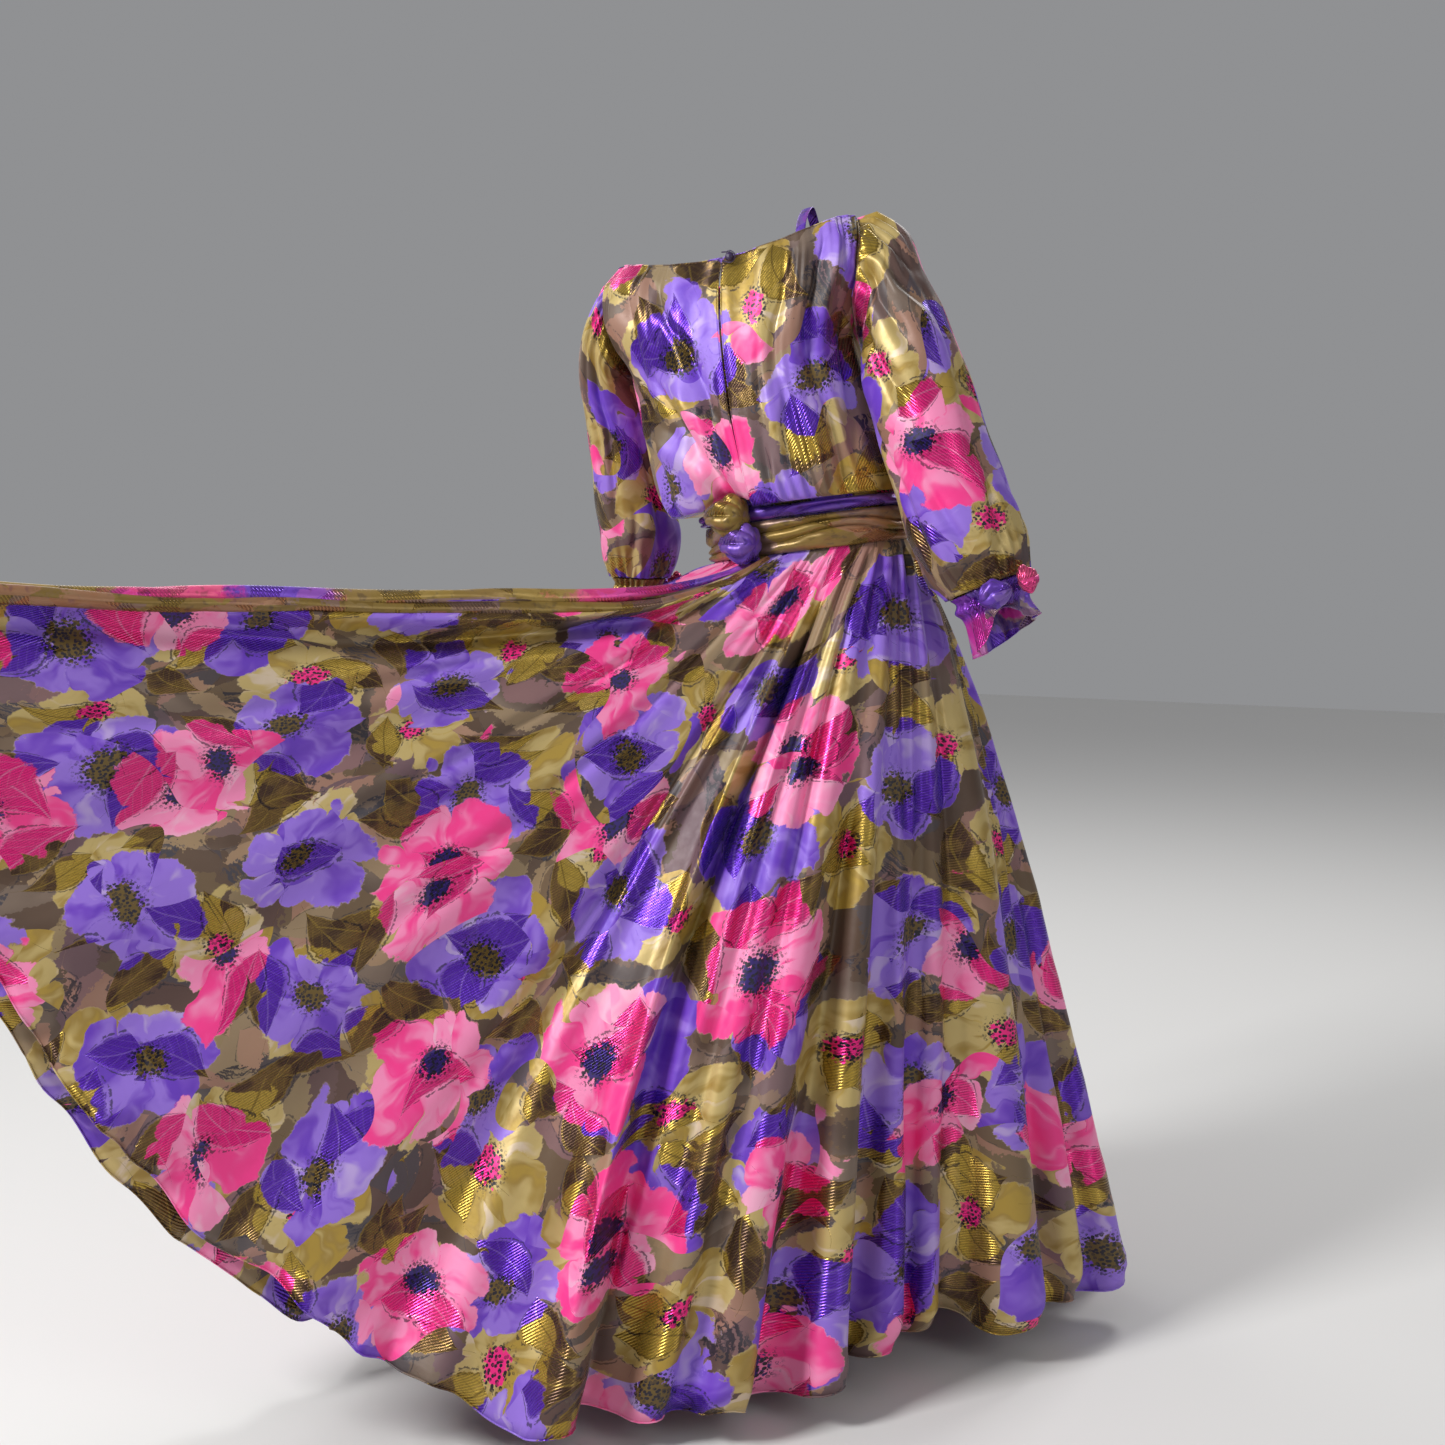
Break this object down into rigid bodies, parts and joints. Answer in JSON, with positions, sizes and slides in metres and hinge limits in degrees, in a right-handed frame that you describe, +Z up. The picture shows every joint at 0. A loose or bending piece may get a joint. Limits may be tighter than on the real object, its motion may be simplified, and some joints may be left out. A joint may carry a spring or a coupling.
{
  "type": "evening dress",
  "caption": "Full-length evening dress of flower-printed metallic chiffon with blouson bodice, knotted sash, full sleeves and a ring skirt lifted out at the back left; hollow, in worn form.",
  "frame": {"origin": "between the shoulders at the base of the neck, where the worn dress hangs", "axes": "+Z up, -Y towards the front of the dress, +X towards the wearer's left"},
  "size_m": [1.0786, 1.1567, 1.3197],
  "materials": {
    "printed_chiffon": "satin with metallic sheen",
    "violet_chiffon": "satin",
    "pink_chiffon": "satin",
    "gold_lame": "metallic sheen",
    "plum_button": "glossy"
  },
  "bodies": {
    "root": {"bodice_back_left": "printed_chiffon", "bodice_back_right": "printed_chiffon", "bodice_front": "printed_chiffon", "button_loop": "plum_button", "cuff_knot_left": "violet_chiffon", "cuff_knot_right": "violet_chiffon", "cuff_left": "gold_lame", "cuff_loop_left": "pink_chiffon", "cuff_loop_right": "pink_chiffon", "cuff_right": "violet_chiffon", "inner_strap_right": "violet_chiffon", "neck_button": "plum_button", "sash_knot_lower": "violet_chiffon", "sash_knot_upper": "gold_lame", "sash_lower": "gold_lame", "sash_upper": "violet_chiffon", "skirt_back_middle": "printed_chiffon", "skirt_back_right": "printed_chiffon", "skirt_front_left": "printed_chiffon", "skirt_front_middle": "printed_chiffon", "skirt_front_right": "printed_chiffon", "skirt_left_front": "printed_chiffon", "skirt_left_side": "printed_chiffon", "skirt_lifted_far": "printed_chiffon", "skirt_lifted_near": "printed_chiffon", "skirt_right_back": "printed_chiffon", "skirt_right_front": "printed_chiffon", "skirt_right_side": "printed_chiffon", "sleeve_left": "printed_chiffon", "sleeve_right": "printed_chiffon"}
  },
  "joints": []
}
